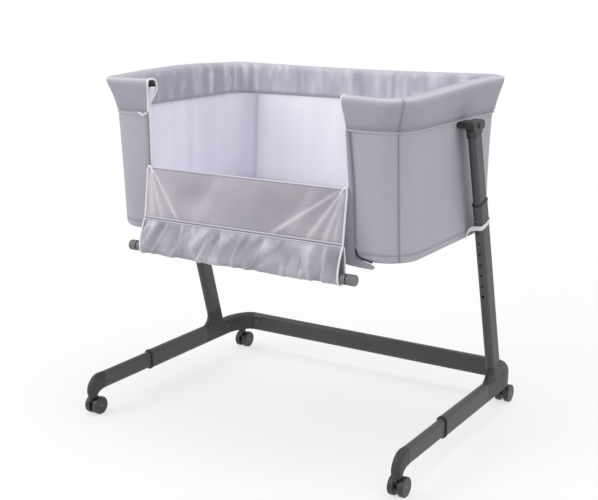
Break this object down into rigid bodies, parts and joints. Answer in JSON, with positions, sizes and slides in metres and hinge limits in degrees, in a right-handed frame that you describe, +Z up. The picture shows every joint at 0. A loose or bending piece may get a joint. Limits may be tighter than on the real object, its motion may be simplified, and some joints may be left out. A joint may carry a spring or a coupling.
{
  "type": "bedside sleeper crib",
  "caption": "Bedside sleeper crib: fabric bassinet with a fold-down mesh side on height-adjustable leaning columns over a telescopic base on twin-wheel casters.",
  "frame": {"origin": "on the floor, under the middle of the base", "axes": "+X along the crib's length, +Y away from the adult's bed, +Z up"},
  "size_m": [0.95, 0.7198, 0.891],
  "materials": {
    "frame_tube": "satin dark grey powder coat",
    "hub_plastic": "matte near black moulding",
    "steel": "plain",
    "wheel_plastic": "dark, slightly glossy",
    "outer_fabric": "melange grey woven cloth",
    "lining_fabric": "pale smooth cloth",
    "white_trim": "white webbing and piping",
    "mesh_fabric": "fine open mesh",
    "mattress_foam": "quilted pale cover",
    "board_panel": "thin hardboard",
    "grey_plastic": "mid grey moulding",
    "zip_tape": "dark grey tape"
  },
  "bodies": {
    "base": {"crossbar_tube": "frame_tube", "corner_elbow_left": "hub_plastic", "corner_elbow_right": "hub_plastic", "leg_hub_left": "hub_plastic", "leg_hub_right": "hub_plastic", "foot_outer_left": "frame_tube", "foot_outer_right": "frame_tube", "column_left": "frame_tube", "column_right": "frame_tube", "tube_bushes": "hub_plastic", "frame_screws": "steel"},
    "cot": {"riser_left": "frame_tube", "riser_right": "frame_tube", "riser_head_left": "hub_plastic", "riser_head_right": "hub_plastic", "head_bolts": "steel", "end_posts": "frame_tube", "rim_frame_tube": "frame_tube", "lower_frame_tube": "frame_tube", "front_hoop_tube": "frame_tube", "mattress_board": "board_panel", "mattress": "mattress_foam", "cover_shell": "outer_fabric", "lining": "lining_fabric", "rim_band": "outer_fabric", "opening_facing": "lining_fabric", "zips": "zip_tape", "fold_piping": "white_trim", "column_straps": "white_trim"},
    "drop_side": {"drop_panel": "mesh_fabric", "drop_cuff": "outer_fabric", "drop_rail": "frame_tube", "rail_ferrules": "grey_plastic"},
    "height_button_left": {"height_button_left": "steel"},
    "foot_left": {"foot_inner_left": "frame_tube", "foot_elbow_left": "hub_plastic"},
    "foot_button_left": {"foot_button_left": "steel"},
    "rail_knob_left": {"rail_knob_left": "grey_plastic"},
    "caster_front_left": {"caster_front_housing_left": "hub_plastic", "caster_front_pins_left": "steel"},
    "wheel_front_outer_left": {"caster_front_wheel_outer_left": "wheel_plastic"},
    "wheel_front_inner_left": {"caster_front_wheel_inner_left": "wheel_plastic"},
    "caster_rear_left": {"caster_rear_housing_left": "hub_plastic", "caster_rear_pins_left": "steel"},
    "wheel_rear_outer_left": {"caster_rear_wheel_outer_left": "wheel_plastic"},
    "wheel_rear_inner_left": {"caster_rear_wheel_inner_left": "wheel_plastic"},
    "height_button_right": {"height_button_right": "steel"},
    "foot_right": {"foot_inner_right": "frame_tube", "foot_elbow_right": "hub_plastic"},
    "foot_button_right": {"foot_button_right": "steel"},
    "rail_knob_right": {"rail_knob_right": "grey_plastic"},
    "caster_front_right": {"caster_front_housing_right": "hub_plastic", "caster_front_pins_right": "steel"},
    "wheel_front_outer_right": {"caster_front_wheel_outer_right": "wheel_plastic"},
    "wheel_front_inner_right": {"caster_front_wheel_inner_right": "wheel_plastic"},
    "caster_rear_right": {"caster_rear_housing_right": "hub_plastic", "caster_rear_pins_right": "steel"},
    "wheel_rear_outer_right": {"caster_rear_wheel_outer_right": "wheel_plastic"},
    "wheel_rear_inner_right": {"caster_rear_wheel_inner_right": "wheel_plastic"}
  },
  "joints": [
    {"name": "height", "type": "slide", "parent": "base", "child": "cot", "axis": [0, -0.2756, 0.9613], "range_m": [-0.15, 0]},
    {"name": "drop_side", "type": "hinge", "parent": "cot", "child": "drop_side", "pos_m": [0, -0.28, 0.676], "axis": [-1, 0, 0], "range_deg": [0, 162]},
    {"name": "height_button_left", "type": "slide", "parent": "cot", "child": "height_button_left", "axis": [0, 0.9613, 0.2756], "range_m": [0, 0.004], "stiffness_N_per_m": 600, "springref_m": -0.004},
    {"name": "foot_left", "type": "slide", "parent": "base", "child": "foot_left", "axis": [0, -1, 0], "range_m": [-0.118, 0.03]},
    {"name": "foot_button_left", "type": "slide", "parent": "foot_left", "child": "foot_button_left", "axis": [0, 0, 1], "range_m": [0, 0.004], "stiffness_N_per_m": 600, "springref_m": -0.004},
    {"name": "rail_knob_left", "type": "slide", "parent": "drop_side", "child": "rail_knob_left", "axis": [1, 0, 0], "range_m": [0, 0.004], "stiffness_N_per_m": 800, "springref_m": -0.004},
    {"name": "caster_front_left_swivel", "type": "hinge", "parent": "foot_left", "child": "caster_front_left", "pos_m": [-0.455, -0.34, 0.05], "axis": [0, 0, 1], "continuous": true},
    {"name": "wheel_front_outer_left_roll", "type": "hinge", "parent": "caster_front_left", "child": "wheel_front_outer_left", "pos_m": [-0.455, -0.328, 0.024], "axis": [1, 0, 0], "continuous": true},
    {"name": "wheel_front_inner_left_roll", "type": "hinge", "parent": "caster_front_left", "child": "wheel_front_inner_left", "pos_m": [-0.455, -0.328, 0.024], "axis": [1, 0, 0], "continuous": true},
    {"name": "caster_rear_left_swivel", "type": "hinge", "parent": "base", "child": "caster_rear_left", "pos_m": [-0.438, 0.328, 0.05], "axis": [0, 0, 1], "continuous": true},
    {"name": "wheel_rear_outer_left_roll", "type": "hinge", "parent": "caster_rear_left", "child": "wheel_rear_outer_left", "pos_m": [-0.438, 0.34, 0.024], "axis": [1, 0, 0], "continuous": true},
    {"name": "wheel_rear_inner_left_roll", "type": "hinge", "parent": "caster_rear_left", "child": "wheel_rear_inner_left", "pos_m": [-0.438, 0.34, 0.024], "axis": [1, 0, 0], "continuous": true},
    {"name": "height_button_right", "type": "slide", "parent": "cot", "child": "height_button_right", "axis": [0, 0.9613, 0.2756], "range_m": [0, 0.004], "stiffness_N_per_m": 600, "springref_m": -0.004},
    {"name": "foot_right", "type": "slide", "parent": "base", "child": "foot_right", "axis": [0, -1, 0], "range_m": [-0.118, 0.03]},
    {"name": "foot_button_right", "type": "slide", "parent": "foot_right", "child": "foot_button_right", "axis": [0, 0, 1], "range_m": [0, 0.004], "stiffness_N_per_m": 600, "springref_m": -0.004},
    {"name": "rail_knob_right", "type": "slide", "parent": "drop_side", "child": "rail_knob_right", "axis": [-1, 0, 0], "range_m": [0, 0.004], "stiffness_N_per_m": 800, "springref_m": -0.004},
    {"name": "caster_front_right_swivel", "type": "hinge", "parent": "foot_right", "child": "caster_front_right", "pos_m": [0.455, -0.34, 0.05], "axis": [0, 0, 1], "continuous": true},
    {"name": "wheel_front_outer_right_roll", "type": "hinge", "parent": "caster_front_right", "child": "wheel_front_outer_right", "pos_m": [0.455, -0.328, 0.024], "axis": [1, 0, 0], "continuous": true},
    {"name": "wheel_front_inner_right_roll", "type": "hinge", "parent": "caster_front_right", "child": "wheel_front_inner_right", "pos_m": [0.455, -0.328, 0.024], "axis": [1, 0, 0], "continuous": true},
    {"name": "caster_rear_right_swivel", "type": "hinge", "parent": "base", "child": "caster_rear_right", "pos_m": [0.438, 0.328, 0.05], "axis": [0, 0, 1], "continuous": true},
    {"name": "wheel_rear_outer_right_roll", "type": "hinge", "parent": "caster_rear_right", "child": "wheel_rear_outer_right", "pos_m": [0.438, 0.34, 0.024], "axis": [1, 0, 0], "continuous": true},
    {"name": "wheel_rear_inner_right_roll", "type": "hinge", "parent": "caster_rear_right", "child": "wheel_rear_inner_right", "pos_m": [0.438, 0.34, 0.024], "axis": [1, 0, 0], "continuous": true}
  ]
}
